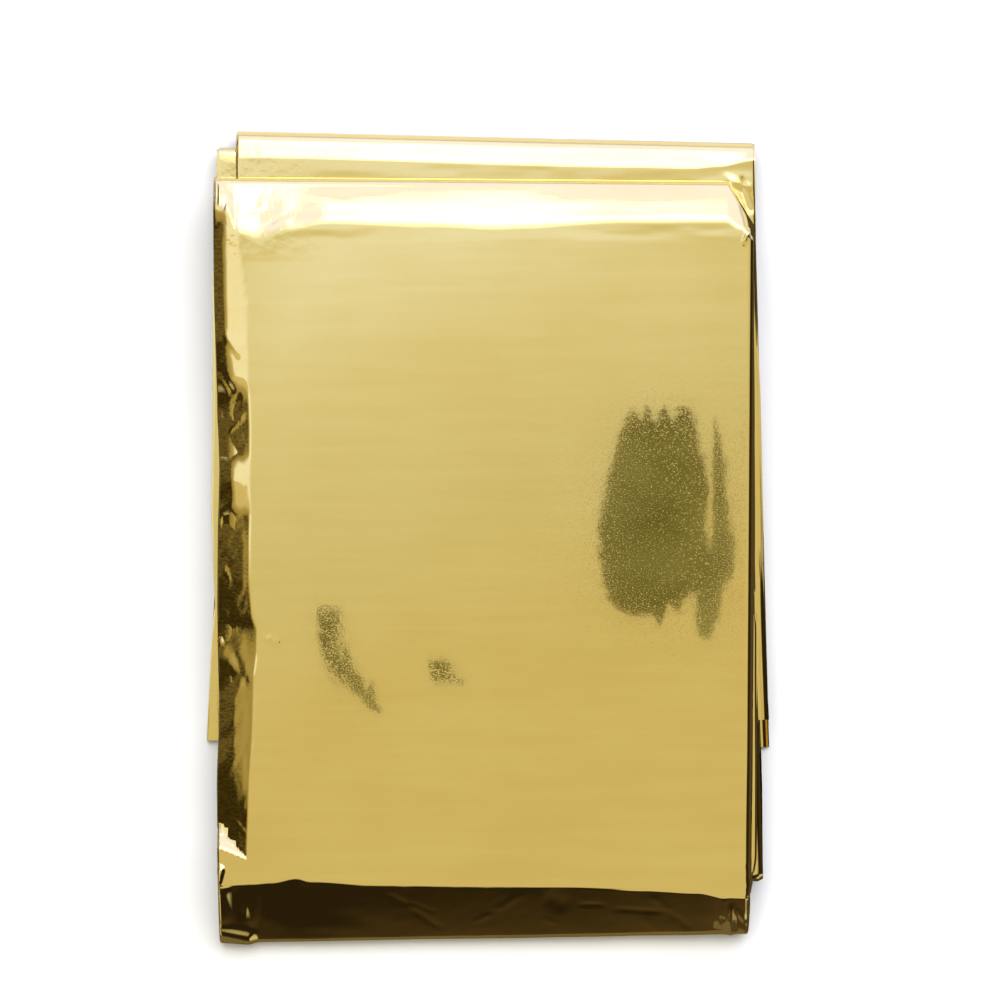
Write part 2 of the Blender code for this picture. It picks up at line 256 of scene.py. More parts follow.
def ply_row(level):
    """A ply's own values by name."""
    return dict(zip(PLY_COLUMNS, PLIES[level]))


def ply_height(folds, level, x, y):
    """The height of a ply's middle surface, before its edges droop."""
    rim = (2.0 * x / PACKET_WIDTH - 1.0) ** 2 + (2.0 * y / PACKET_LENGTH - 1.0) ** 2
    height = folds.ply_thickness / 2.0 + level * (folds.ply_thickness + folds.ply_gap)
    rim = rim / (1.0 + rim**RIM_POWER) ** (1.0 / RIM_POWER)
    height = height - folds.crown * level / TOP_PLY * rim
    return height - ply_row(level)["settle"] * fade(y, SETTLE_SPAN)


def shoulder_droop(x, y):
    """How far the top ply droops along its left edge: gently at first, then steeply."""
    rows = np.array(SHOULDER)
    sizes = [np.interp(y, rows[:, 0], rows[:, column]) for column in range(1, len(SHOULDER_COLUMNS))]
    start, ease, slope, steep, dark, limit = sizes
    run = np.maximum(start - x, 0.0)
    easing = np.minimum(run, ease)
    droop = slope * (easing**2 / (2.0 * ease) + run - easing)
    growth = (DARK_SLOPE - slope) / (steep - dark)
    beyond = np.maximum(steep - x, 0.0)
    growing = np.minimum(beyond, (limit - slope) / growth)
    droop = droop + growth * growing * (beyond - growing / 2.0)
    end = SHOULDER_END - SHOULDER_END_SKEW * x
    return np.minimum(droop, SHOULDER_END_SLOPE * np.maximum(y - end, 0.0))


def edge_droop(level, x, y, left, right):
    """How far a ply droops near the strip's left and right edges."""
    row = ply_row(level)
    from_left = np.clip(1.0 - (x - left) / LEFT_DROOP_WIDTH, 0.0, 1.0)
    from_right = np.clip(1.0 - (right - x) / RIGHT_DROOP_WIDTH, 0.0, 1.0)
    droop = row["left_droop"] * from_left**DROOP_POWER
    if level == TOP_PLY:
        droop = shoulder_droop(x, y)
    droop = droop + row["right_droop"] * from_right**DROOP_POWER
    return droop * fade(y, DROOP_SPAN)


ANGLE_STEPS = 50  # each halves what is left of the range
ROUND_TOLERANCE = 1e-9  # a fold that reaches no further than its nose is a half circle


def slope_angle(height, reach, crease, nose):
    """The angle of the straight slope between a fold's crease arc and its nose arc."""
    low, high = np.zeros_like(height), np.full_like(height, pi / 2.0)
    for _ in range(ANGLE_STEPS):
        angle = (low + high) / 2.0
        rise = height - crease * (1.0 - np.cos(angle)) - nose * (1.0 + np.cos(angle))
        run = reach - crease * np.sin(angle) - nose * (1.0 - np.sin(angle))
        is_low = rise * np.cos(angle) > run * np.sin(angle)
        low, high = np.where(is_low, angle, low), np.where(is_low, high, angle)
    return (low + high) / 2.0


def fold_section(height, reach, crease, nose, steps):
    """The run and drop of a fold's points from its upper ply to its lower one, at each column."""
    crease_steps, slope_steps, nose_steps = steps
    is_round = bool(np.all(reach <= nose + ROUND_TOLERANCE))
    if is_round:
        angle = np.full_like(height, pi * crease_steps / (crease_steps + nose_steps))
    else:
        angle = slope_angle(height, reach, crease, nose)
    turns = np.linspace(0.0, 1.0, crease_steps + 1)[:, None] * angle
    runs, drops = [crease * np.sin(turns)], [crease * (1.0 - np.cos(turns))]
    turns = angle + (pi - angle) * np.linspace(0.0, 1.0, nose_steps + 1)[:, None]
    nose_run = reach - nose + nose * np.sin(turns)
    nose_drop = height - nose - nose * np.cos(turns)
    if is_round:
        nose_run, nose_drop = nose_run[1:], nose_drop[1:]
    else:
        shares = np.linspace(0.0, 1.0, slope_steps + 1)[1:-1, None]
        runs.append(runs[0][-1] * (1.0 - shares) + nose_run[0] * shares)
        drops.append(drops[0][-1] * (1.0 - shares) + nose_drop[0] * shares)
    return np.concatenate(runs + [nose_run]), np.concatenate(drops + [nose_drop])


def turn_lines(turn, shares):
    """A turn's edges, its tip's y, its slope's reach and its nose's radius, at each column."""
    x = turn["left"] + (turn["right"] - turn["left"]) * shares
    tip = turn["tip_left"] + (turn["tip_right"] - turn["tip_left"]) * shares
    to_right = shares**SLOPE_POWER
    reach = turn["reach_left"] + (turn["reach_right"] - turn["reach_left"]) * to_right
    nose = turn["nose_left"] + (turn["nose_right"] - turn["nose_left"]) * to_right
    if turn["name"] == CUT_TURN:
        cut = np.clip((x - turn["right"]) / CUT_WIDTH + 1.0, 0.0, 1.0)
        tip = tip - CUT_DEPTH * cut
        nose = nose + CUT_NOSE * np.minimum(cut * CUT_NOSE_RATE, 1.0)
    if turn["name"] in CREASE_LINES:
        reach = np.abs(tip - eased(CREASE_LINES[turn["name"]], x))
    return x, tip, reach, nose


def turn_rows(folds, turn, arriving, shares, steps):
    """A turn's rows of points in the order of the strip, from the ply that arrives at it."""
    x, tip, reach, nose = turn_lines(turn, shares)
    left, right = turn["left"], turn["right"]
    if arriving is None or turn["ply"] is None:
        level = turn["ply"] if arriving is None else arriving
        height = ply_height(folds, level, x, tip) - edge_droop(level, x, tip, left, right)
        return np.stack((x, tip, height), axis=-1)[None]
    upper, lower = max(arriving, turn["ply"]), min(arriving, turn["ply"])
    outward = 1.0 if tip[0] > PACKET_LENGTH / 2.0 else -1.0
    tip = tip - outward * folds.ply_thickness / 2.0
    tight = (ply_height(folds, upper, x, tip) - ply_height(folds, lower, x, tip)) / 2.0
    reach = np.where(reach > 0.0, reach, tight)
    nose = np.where(nose > 0.0, nose, tight)
    crease = np.maximum(turn["crease"] * (reach / np.max(reach)) ** 2, CREASE_LIMIT)
    crease = np.where(turn["crease"] > 0.0, np.minimum(crease, turn["crease"]), tight)
    start_y = tip - outward * reach
    start_z = ply_height(folds, upper, x, start_y)
    height = start_z - ply_height(folds, lower, x, tip - outward * nose)
    run, drop = fold_section(height, reach, crease, nose, steps)
    y = start_y + outward * run
    share = np.minimum(drop / (height - nose), 1.0)
    droop = edge_droop(upper, x, y, left, right) * (1.0 - share)
    droop = droop + edge_droop(lower, x, y, left, right) * share
    rows = np.stack((np.broadcast_to(x, y.shape), y, start_z - drop - droop), axis=-1)
    return rows if arriving == upper else rows[::-1]


def straight_rows(folds, level, last, turn, last_row, next_row, stations):
    """A ply's rows between two turns, at shares of the way from one to the other."""
    share = np.asarray(stations)[:, None]
    x = last_row[:, 0] + (next_row[:, 0] - last_row[:, 0]) * share
    y = last_row[:, 1] + (next_row[:, 1] - last_row[:, 1]) * share
    left = last["left"] + (turn["left"] - last["left"]) * share
    right = last["right"] + (turn["right"] - last["right"]) * share
    across = (x - left) / (right - left)
    if level in LEFT_STRAYS:
        x = x + eased(LEFT_STRAYS[level], y) * (1.0 - across) ** STRAY_POWER
    if level in RIGHT_STRAYS:
        x = x + eased(RIGHT_STRAYS[level], y) * across**STRAY_POWER
    height = ply_height(folds, level, x, y) - edge_droop(level, x, y, left, right)
    return np.stack((x, y, height), axis=-1)


def strip_groups(folds, shares, first, last, stations, steps):
    """The strip's rows of points from one turn to another, in a group for each turn and each ply.

    stations gives the shares of the way at which each ply has rows.
    """
    turns = [dict(zip(TURN_COLUMNS, values)) for values in TURNS]
    names = [turn["name"] for turn in turns]
    begin, end = names.index(first), names.index(last)
    arriving = turns[begin - 1]["ply"] if begin else None
    groups = [turn_rows(folds, turns[begin], arriving, shares, steps)]
    for before, turn in zip(turns[begin:end], turns[begin + 1:end + 1]):
        level = before["ply"]
        rows = turn_rows(folds, turn, level, shares, steps)
        groups.append(straight_rows(
            folds, level, before, turn, groups[-1][-1], rows[0], stations[level]))
        groups.append(rows)
    return groups


def spread(*runs):
    """Places from 0 to 1 in runs of even steps. A run is the place that it ends at and its steps."""
    places, start = [0.0], 0.0
    for end, count in runs:
        places += list(np.linspace(start, end, count + 1)[1:])
        start = end
    return np.array(places)


def surface_normals(points):
    """The direction off the surface at each point of a grid of rows and columns."""
    return unit(np.cross(np.gradient(points, axis=1), np.gradient(points, axis=0)))


# ---------------------------------------------------------------------------
# Film
# ---------------------------------------------------------------------------

def deselect_all():
    """Leave nothing chosen, so that the next tool works on its own mesh alone."""
    if bpy.context.object is not None and bpy.context.object.mode != "OBJECT":
        bpy.ops.object.mode_set(mode="OBJECT")
    bpy.ops.object.select_all(action="DESELECT")


def lay_film(name, points, sharp_angle):
    """A flat grid whose rows are laid along the given ones, in the packet's place."""
    deselect_all()
    rows, columns = points.shape[:2]
    bpy.ops.mesh.primitive_grid_add(x_subdivisions=columns - 1, y_subdivisions=rows - 1)
    film = bpy.context.object
    film.name = name
    film.data.name = name
    places = points + PACKET_CORNER
    places[..., 2] = np.maximum(places[..., 2], FILM_CLEARANCE)
    film.data.vertices.foreach_set("co", places.reshape(-1))
    film.data.update()
    bpy.ops.object.shade_smooth_by_angle(angle=sharp_angle)
    film.data.materials.append(film_material(bpy.context.scene.foil_finish))
    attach(film, BODY)
    return film


# The film inside the plies: rows along each ply, and columns across the strip.
LAYER_STATIONS = (0.012, 0.06, 0.16, 0.30, 0.45, 0.60, 0.75, 0.88, 0.985)
TOP_STATIONS = (
    0.012, 0.040, 0.053, 0.068, 0.093, 0.130, 0.177, 0.222, 0.283, 0.321, 0.351, 0.392, 0.412, 0.467,
    0.527, 0.565, 0.618, 0.679, 0.732, 0.800, 0.893, 0.985,
)
LAYER_STEPS = (2, 2, 5)
LAYER_COLUMNS = spread(
    (0.0035, 1), (0.0080, 1), (0.02, 1), (0.075, 4), (0.5, 2), (0.98, 2), (0.992, 1), (0.9965, 1),
    (1.0, 1))
PATH_COLUMNS = spread((0.08, 16), (0.92, 16), (1.0, 16))
INNER_SHARE = 0.84  # how much of the ply's thickness the inner film takes
LAYER_BULGE = 0.00010
EDGE_WANDER = 0.0008
WANDER_LENGTH = 0.022
CLUMP_LAYERS = 6
CLUMP_GAP = 2.2
LAYER_GAPS = (0.25, 1.0)
LAYER_SHIFT = 0.37  # how far apart the waves of two pleats' edges are taken
LAYER_SEED = 11
PINCH_WIDTH = 0.0007  # towards the bottom end each ply thins towards its right edge
PINCH_SHARE = 0.85
PINCH_SPAN = (0.0640, 0.0580)
SLACK_SHARE = 0.8  # away from the edges the inner film lies closer together
SLACK_SPAN = (0.0025, 0.0055)


def layer_depths(folds):
    """How far each layer lies off the ply's middle. The layers gather in uneven clumps."""
    gaps = np.random.default_rng(LAYER_SEED).uniform(*LAYER_GAPS, folds.film_layers - 1)
    gaps[CLUMP_LAYERS - 1::CLUMP_LAYERS] *= CLUMP_GAP
    places = np.concatenate(([0.0], np.cumsum(gaps)))
    return (places / places[-1] - 0.5) * folds.ply_thickness * INNER_SHARE


def sample_columns(grid, shares):
    """A grid's values at each row's own shares of the way across."""
    step = np.clip(np.searchsorted(PATH_COLUMNS, shares) - 1, 0, len(PATH_COLUMNS) - 2)
    part = (shares - PATH_COLUMNS[step]) / (PATH_COLUMNS[step + 1] - PATH_COLUMNS[step])
    row = np.arange(len(grid))[:, None]
    return grid[row, step] * (1.0 - part[..., None]) + grid[row, step + 1] * part[..., None]


def layer_edges(length, layer, seed):
    """How far in from the strip's edge a pleat lies, along the strip, as a share of the width."""
    wave = soft_noise(length, np.full_like(length, layer * LAYER_SHIFT), WANDER_LENGTH, 1.0, seed)
    return (0.5 + 0.5 * wave) * EDGE_WANDER / PACKET_WIDTH


def pleated_layers(folds):
    """One sheet that goes to and fro across the strip, its pleats' edges roughly in line."""
    stations = [LAYER_STATIONS] * TOP_PLY + [TOP_STATIONS]
    groups = strip_groups(folds, PATH_COLUMNS, "low_end", "high_end", stations, LAYER_STEPS)
    path = np.concatenate(groups)
    normals = surface_normals(path)
    steps = np.linalg.norm(np.diff(path[:, len(PATH_COLUMNS) // 2], axis=0), axis=-1)
    length = np.concatenate(([0.0], np.cumsum(steps)))
    is_pinched = fade(path[:, -1:, 1], PINCH_SPAN)
    layers = []
    for index, depth in enumerate(layer_depths(folds)):
        left = layer_edges(length, (index + 1) // 2, LAYER_SEED + 1)
        right = 1.0 - layer_edges(length, index // 2, LAYER_SEED + 2)
        shares = left[:, None] + (right - left)[:, None] * LAYER_COLUMNS
        from_edge = np.minimum(LAYER_COLUMNS, 1.0 - LAYER_COLUMNS) * PACKET_WIDTH
        from_right = (1.0 - LAYER_COLUMNS) * PACKET_WIDTH
        pinch = np.clip(1.0 - from_right / PINCH_WIDTH, 0.0, 1.0) * is_pinched
        slack = fade(from_edge, SLACK_SPAN)
        offset = (depth * (1.0 - PINCH_SHARE * pinch - SLACK_SHARE * slack))[..., None]
        layer = sample_columns(path, shares) + sample_columns(normals, shares) * offset
        if index % 2:
            layer = layer[:, ::-1]
        if layers:
            before = layers[-1]
            outward = unit(before[:, -1] - before[:, -2])
            edge = (before[:, -1] + layer[:, 0]) / 2.0 + outward * LAYER_BULGE
            layers.append(edge[:, None])
        layers.append(layer)
    return np.concatenate(layers, axis=1)


# The outermost film: its columns across, its rows along each ply and its folds' steps.
SKIN_COLUMNS = spread((0.10, 62), (0.93, 118), (1.0, 36))
FRONT_STATIONS = {
    1: spread((0.86, 1), (1.0, 14))[1:-1],
    TOP_PLY: spread((0.02, 10), (0.10, 24), (0.90, 150), (0.96, 28), (1.0, 12))[1:-1],
    4: spread((0.10, 12), (1.0, 1))[1:-1],
}
FRONT_STEPS = (8, 34, 12)
BACK_STATIONS = {
    0: spread((0.9, 40), (1.0, 16))[1:-1],
    3: spread((0.03, 12), (0.12, 46), (0.26, 20), (1.0, 1))[1:-1],
}
BACK_STEPS = (8, 10, 14)
ROLL_STEPS = 7
ROLL_RADIUS = 0.00045
ROLL_ANGLE = radians(150.0)
SKIN_SHARES = ROLL_RADIUS / PACKET_WIDTH + (1.0 - 2.0 * ROLL_RADIUS / PACKET_WIDTH) * SKIN_COLUMNS

# Which way the film faces, and where it lies, as the creases of each side start and are full.
FACES_UP = (0.05, 0.30)
FACES_END = (0.30, 0.55)
FLANK_SPAN = (0.020, 0.015)
FACES_OUT = (0.2, 0.5)


def rolled_edges(points, normals, lift):
    """A skin off the middle surface by its lift, with side edges that roll round the ply's."""
    skin = points + normals * lift[..., None]
    angles = np.linspace(0.0, ROLL_ANGLE, ROLL_STEPS + 1)[1:]
    sides = []
    for edge, inner in ((0, 1), (-1, -2)):
        outward = unit(skin[:, edge] - skin[:, inner]) * ROLL_RADIUS
        down = -normals[:, edge] * np.sign(lift[:, edge])[:, None] * ROLL_RADIUS
        roll = [
            skin[:, edge] + outward * sin(angle) + down * (1.0 - cos(angle)) for angle in angles]
        sides.append(np.stack(roll, axis=1))
    return np.concatenate((sides[0][:, ::-1], skin, sides[1]), axis=1)


def front_surface(folds):
    """From the lowest film at the bottom end, round the sloped flank and over the front."""
    groups = strip_groups(folds, SKIN_SHARES, "rear_inner", "high_end", FRONT_STATIONS, FRONT_STEPS)
    points = np.concatenate(groups[1:-1])
    normals = surface_normals(points)
    x, y = points[..., 0], points[..., 1]
    on_flank = fade(-normals[..., 1], FACES_END) * fade(y, FLANK_SPAN)
    relief = front_relief(x, y) * (1.0 - on_flank) + flank_relief(x, y) * on_flank
    lift = folds.ply_thickness / 2.0 + relief * fade(normals[..., 2], FACES_UP)
    return rolled_edges(points, normals, lift)


def back_surface(folds):
    """From the lowest ply's free end, along the packet's back and round its rear top fold."""
    groups = strip_groups(folds, SKIN_SHARES, "low_end", "bottom_inner", BACK_STATIONS, BACK_STEPS)
    points = np.concatenate(groups[:-1])
    normals = surface_normals(points)
    relief = rear_relief(points[..., 0], points[..., 1])
    lift = -folds.ply_thickness / 2.0 - relief * fade(-normals[..., 2], FACES_OUT)
    return rolled_edges(points, normals, lift)[::-1]


# Creases, each from one place to another: its half width, its height (a trough's is below
# zero) and its kind. A ridge's sides are flat facets that meet in a crisp line. A wave is rounded.
CREASE_COLUMNS = ("x0", "y0", "x1", "y1", "width", "height", "kind")
CREASE_TAPER = 0.25  # each end fades in over this share of the crease's length
FRONT_CREASES = (
    (0.0038, 0.0842, 0.0071, 0.0870, 0.0005, 0.00020, "ridge"),
    (0.0030, 0.0862, 0.0064, 0.0902, 0.0007, -0.00012, "ridge"),
    (0.0027, 0.0684, 0.0031, 0.0706, 0.0003, 0.00012, "ridge"),
    (0.0031, 0.0622, 0.0046, 0.0600, 0.0003, 0.00012, "ridge"),
    (0.0018, 0.0494, 0.0034, 0.0504, 0.0006, 0.00030, "ridge"),
    (0.0094, 0.0506, 0.0129, 0.0494, 0.0004, 0.00005, "ridge"),
    (0.0046, 0.0488, 0.0076, 0.0416, 0.0009, -0.00006, "ridge"),
    (0.0024, 0.0240, 0.0076, 0.0178, 0.0003, 0.00004, "ridge"),
    (0.0020, 0.0098, 0.0029, 0.0134, 0.0006, 0.00042, "wave"),
    (0.0879, 0.1146, 0.0890, 0.1172, 0.0004, 0.00020, "ridge"),
    (0.0030, 0.1010, 0.0062, 0.0960, 0.0006, 0.00010, "ridge"),
    (0.0022, 0.0950, 0.0052, 0.0902, 0.0007, -0.00014, "ridge"),
    (0.0026, 0.1205, 0.0024, 0.1250, 0.0003, 0.00012, "ridge"),
    (0.0034, 0.1200, 0.0039, 0.1246, 0.0004, -0.00010, "ridge"),
    (0.0060, 0.1190, 0.0105, 0.1212, 0.0006, 0.00006, "ridge"),
    (0.0095, 0.1172, 0.0145, 0.1200, 0.0007, -0.00005, "ridge"),
    (0.0886, 0.0092, 0.0894, 0.0124, 0.0004, 0.00014, "ridge"),
    (0.0868, 0.0118, 0.0886, 0.0138, 0.0005, 0.00006, "ridge"),
)
FLANK_CREASES = (
    (0.0298, 0.0090, 0.0332, 0.0068, 0.0006, -0.00012, "ridge"),
    (0.0332, 0.0068, 0.0390, 0.0026, 0.0006, -0.00010, "ridge"),
    (0.0333, 0.0076, 0.0380, 0.0056, 0.0004, -0.00006, "ridge"),
    (0.0434, 0.0038, 0.0474, 0.0058, 0.0006, 0.00008, "ridge"),
    (0.0474, 0.0058, 0.0521, 0.0092, 0.0007, 0.00009, "ridge"),
    (0.0554, 0.0086, 0.0596, 0.0066, 0.0014, -0.00016, "wave"),
    (0.0555, 0.0048, 0.0580, 0.0036, 0.0004, 0.00006, "ridge"),
    (0.0610, 0.0071, 0.0656, 0.0070, 0.0006, -0.00010, "ridge"),
    (0.0660, 0.0064, 0.0758, 0.0058, 0.0007, -0.00008, "ridge"),
    (0.0731, 0.0088, 0.0762, 0.0058, 0.0006, 0.00009, "ridge"),
    (0.0762, 0.0058, 0.0800, 0.0026, 0.0006, -0.00010, "ridge"),
    (0.0718, 0.0052, 0.0738, 0.0024, 0.0005, 0.00007, "ridge"),
    (0.0006, 0.0026, 0.0088, 0.0008, 0.0011, 0.00060, "wave"),
    (0.0026, 0.0104, 0.0028, 0.0030, 0.0013, 0.00026, "wave"),
    (0.0046, 0.0104, 0.0062, 0.0040, 0.0014, -0.00014, "ridge"),
    (0.0086, 0.0104, 0.0074, 0.0026, 0.0012, 0.00017, "ridge"),
    (0.0846, 0.0092, 0.0838, 0.0030, 0.0007, 0.00008, "ridge"),
    (0.0869, 0.0067, 0.0887, 0.0040, 0.0006, 0.00009, "ridge"),
    (0.0846, 0.0046, 0.0853, 0.0086, 0.0007, 0.00012, "ridge"),
    (0.0862, 0.0078, 0.0862, 0.0006, 0.0011, 0.00024, "ridge"),
)
REAR_CREASES = (
    (0.0858, 0.1262, 0.0886, 0.1170, 0.0009, 0.00020, "ridge"),
    (0.0876, 0.1262, 0.0898, 0.1196, 0.0008, -0.00018, "ridge"),
    (0.0846, 0.1262, 0.0898, 0.1238, 0.0009, 0.00012, "ridge"),
)
FLANK_BULGE = 0.00022  # the flank is a little fuller halfway down
FLANK_BULGE_WIDTH = 0.0098


def crease_relief(table, x, y):
    """The height of all of a table's creases at each place."""
    relief = np.zeros_like(x)
    for values in table:
        row = dict(zip(CREASE_COLUMNS, values))
        along = np.array((row["x1"] - row["x0"], row["y1"] - row["y0"]))
        length = float(np.hypot(*along))
        along = along / length
        run = (x - row["x0"]) * along[0] + (y - row["y0"]) * along[1]
        off = (x - row["x0"]) * along[1] - (y - row["y0"]) * along[0]
        taper = smoothstep(np.minimum(run, length - run) / (length * CREASE_TAPER))
        shape = np.clip(1.0 - np.abs(off) / row["width"], 0.0, 1.0)
        if row["kind"] == "wave":
            shape = np.exp(-((off / row["width"]) ** 2))
        relief = relief + row["height"] * shape * taper
    return relief


# The film's uneven waves: their height, their sizes across and along, their slant and their seed.
WAVES = {
    "broad": ((0.00003, 0.021, 0.034, 0.0, 21),),
    "front": ((0.000006, 0.006, 0.016, 0.0, 22),),
    "front_fold": ((0.000022, 0.0130, 0.0021, 0.0, 25), (0.000007, 0.0040, 0.0009, 0.0, 26)),
    "shoulder": ((0.000035, 0.0024, 0.0072, 0.4, 23), (0.000014, 0.0009, 0.0026, -0.5, 24)),
    "rear_fold": ((0.000022, 0.0150, 0.0024, 0.0, 41), (0.000008, 0.0040, 0.0012, 0.0, 42)),
    "flank": ((0.00006, 0.0068, 0.0030, 0.8, 31), (0.000012, 0.0017, 0.0011, -0.6, 32)),
}
FOLD_DROOP = 0.00014  # the front fold is rounder towards its tip
FOLD_DROOP_Y = (0.1208, 0.1241)
FOLD_DROOP_LEFT = (0.0030, 0.0060)
FOLD_DROOP_RIGHT = (0.0880, 0.0850)
FRONT_FOLD_SPAN = (0.1150, 0.1165)  # where the folds' streaks start and are full
REAR_FOLD_SPAN = (0.1180, 0.1210)
CRUMPLED_X = (0.0076, 0.0064)  # the left shoulder is crumpled, and less so towards the top end
CRUMPLED_Y = (0.0180, 0.0210)
CALM_SHARE = 0.7
CALM_SPAN = (0.0880, 0.0940)


def uneven(name, x, y):
    """The height of the named waves at each place."""
    return sum(
        height * soft_noise(x + slant * y, y, size_x, size_y, seed)
        for height, size_x, size_y, slant, seed in WAVES[name])


def front_relief(x, y):
    """Broad waves of the loose film, the crumpled shoulder, the fold's streaks and the creases."""
    relief = uneven("broad", x, y) + uneven("front", x, y)
    relief = relief + uneven("front_fold", x, y) * fade(y, FRONT_FOLD_SPAN)
    droop = (y - FOLD_DROOP_Y[0]) / (FOLD_DROOP_Y[1] - FOLD_DROOP_Y[0])
    droop = FOLD_DROOP * np.clip(droop, 0.0, 1.0) ** 2
    relief = relief - droop * fade(x, FOLD_DROOP_LEFT) * fade(x, FOLD_DROOP_RIGHT)
    crumple = uneven("shoulder", x, y) * (1.0 - CALM_SHARE * fade(y, CALM_SPAN))
    crumple = crumple * fade(x, CRUMPLED_X) * fade(y, CRUMPLED_Y)
    return relief + crumple + crease_relief(FRONT_CREASES, x, y)


def rear_relief(x, y):
    """The rear fold's streaks and the facets beside the front's crushed corner."""
    streaks = uneven("rear_fold", x, y) * fade(y, REAR_FOLD_SPAN)
    return streaks + crease_relief(REAR_CREASES, x, y)


def flank_relief(x, y):
    """The sloped flank's fullness, its crumples and its creases."""
    relief = FLANK_BULGE * np.sin(pi * np.clip(y / FLANK_BULGE_WIDTH, 0.0, 1.0))
    return relief + uneven("flank", x, y) + crease_relief(FLANK_CREASES, x, y)


# ---------------------------------------------------------------------------
# Materials
# ---------------------------------------------------------------------------

def map_range(tree, source, span, to=(0.0, 1.0), smooth=False):
    """A value moved from one range to another, and held inside it."""
    node = tree.nodes.new("ShaderNodeMapRange")
    node.interpolation_type = "SMOOTHSTEP" if smooth else "LINEAR"
    tree.links.new(source, node.inputs["Value"])
    for name, value in zip(("From Min", "From Max", "To Min", "To Max"), (*span, *to)):
        node.inputs[name].default_value = value
    return node.outputs["Result"]


def math_value(tree, operation, first, second):
    """Two values added, multiplied or otherwise put together."""
    node = tree.nodes.new("ShaderNodeMath")
    node.operation = operation
    for socket, value in zip(node.inputs, (first, second)):
        if isinstance(value, float):
            socket.default_value = value
        else:
            tree.links.new(value, socket)
    return node.outputs["Value"]


def mixed_colour(tree, factor, first, second):
    """A colour between two others, each a socket or a plain colour."""
    node = tree.nodes.new("ShaderNodeMix")
    node.data_type = "RGBA"
    tree.links.new(factor, node.inputs["Factor"])
    for name, colour in (("A", first), ("B", second)):
        socket = [item for item in node.inputs if item.name == name and item.type == "RGBA"][0]
        if isinstance(colour, bpy.types.NodeSocket):
            tree.links.new(colour, socket)
        else:
            socket.default_value = (*colour, 1.0)
    return [item for item in node.outputs if item.type == "RGBA"][0]


def scaled_colour(tree, colour, share):
    """A colour times a value."""
    node = tree.nodes.new("ShaderNodeVectorMath")
    node.operation = "SCALE"
    tree.links.new(colour, node.inputs[0])
    tree.links.new(share, node.inputs["Scale"])
    return node.outputs["Vector"]


def colour_ramp(tree, source, places, stage):
    """Colours by a value: each of the places is (value, name of the stage's colour)."""
    colour = getattr(stage, places[0][1])
    for before, after in zip(places, places[1:]):
        share = map_range(tree, source, (before[0], after[0]))
        colour = mixed_colour(tree, share, colour, getattr(stage, after[1]))
    return colour


def vector_parts(tree, kind, output):
    """The X, Y and Z of a node's vector."""
    parts = tree.nodes.new("ShaderNodeSeparateXYZ")
    tree.links.new(tree.nodes.new(kind).outputs[output], parts.inputs["Vector"])
    return parts.outputs


# Textures: how many cycles to a metre, their detail, and the share of those cycles across the
# packet.
TEXTURES = {
    "clouds": (60.0, 4.0, 1.0),
    "drawn": (500.0, 3.0, 0.08),
    "grain": (2400.0, 2.0, 1.0),
    "scratches": (900.0, 3.0, 0.12),
    "wrinkles": (260.0, 2.0, 1.0),
    "crinkles": (420.0, 4.0, 1.0),
    "mottle_and_shade": (2600.0, 4.0, 0.4),
    "speckle": (5200.0, 3.0, 0.7),
    "card": (30.0, 3.0, 0.35),
}


def texture(tree, name):
    """The named texture's noise on the object."""
    scale, detail, across = TEXTURES[name]
    mapping = tree.nodes.new("ShaderNodeMapping")
    mapping.inputs["Scale"].default_value = (across, 1.0, 1.0)
    place = tree.nodes.new("ShaderNodeTexCoord").outputs["Object"]
    tree.links.new(place, mapping.inputs["Vector"])
    noise = tree.nodes.new("ShaderNodeTexNoise")
    noise.inputs["Scale"].default_value = scale
    noise.inputs["Detail"].default_value = detail
    tree.links.new(mapping.outputs["Vector"], noise.inputs["Vector"])
    return noise.outputs["Fac"]


def bump_normal(tree, height, distance, before=None):
    """A bump on top of another, its height in metres."""
    bump = tree.nodes.new("ShaderNodeBump")
    bump.inputs["Strength"].default_value = 1.0
    bump.inputs["Distance"].default_value = distance
    tree.links.new(height, bump.inputs["Height"])
    if before is not None:
        tree.links.new(before, bump.inputs["Normal"])
    return bump.outputs["Normal"]


# Where textures go from none to full: the film's places, its normal's share to the left and the
# textures' own values. The top left corner is crinkled all over. The left shoulder is mottled with
# fine bumps, and where it faces steeply to the left it also gets a darker tint, which is painted
# shade.
CRINKLED_X = (-0.026, -0.036)
CRINKLED_Y = (0.0450, 0.0495)
MOTTLED_X = (-0.0375, -0.0385)
MOTTLE_AND_SHADE_SLOPE = (-0.345, -0.385)
MOTTLE_SHADE_VALUES = (0.40, 0.66)
TINT_VALUES = (0.75, 1.25)
SPECKLE_VALUES = (0.53, 0.73)


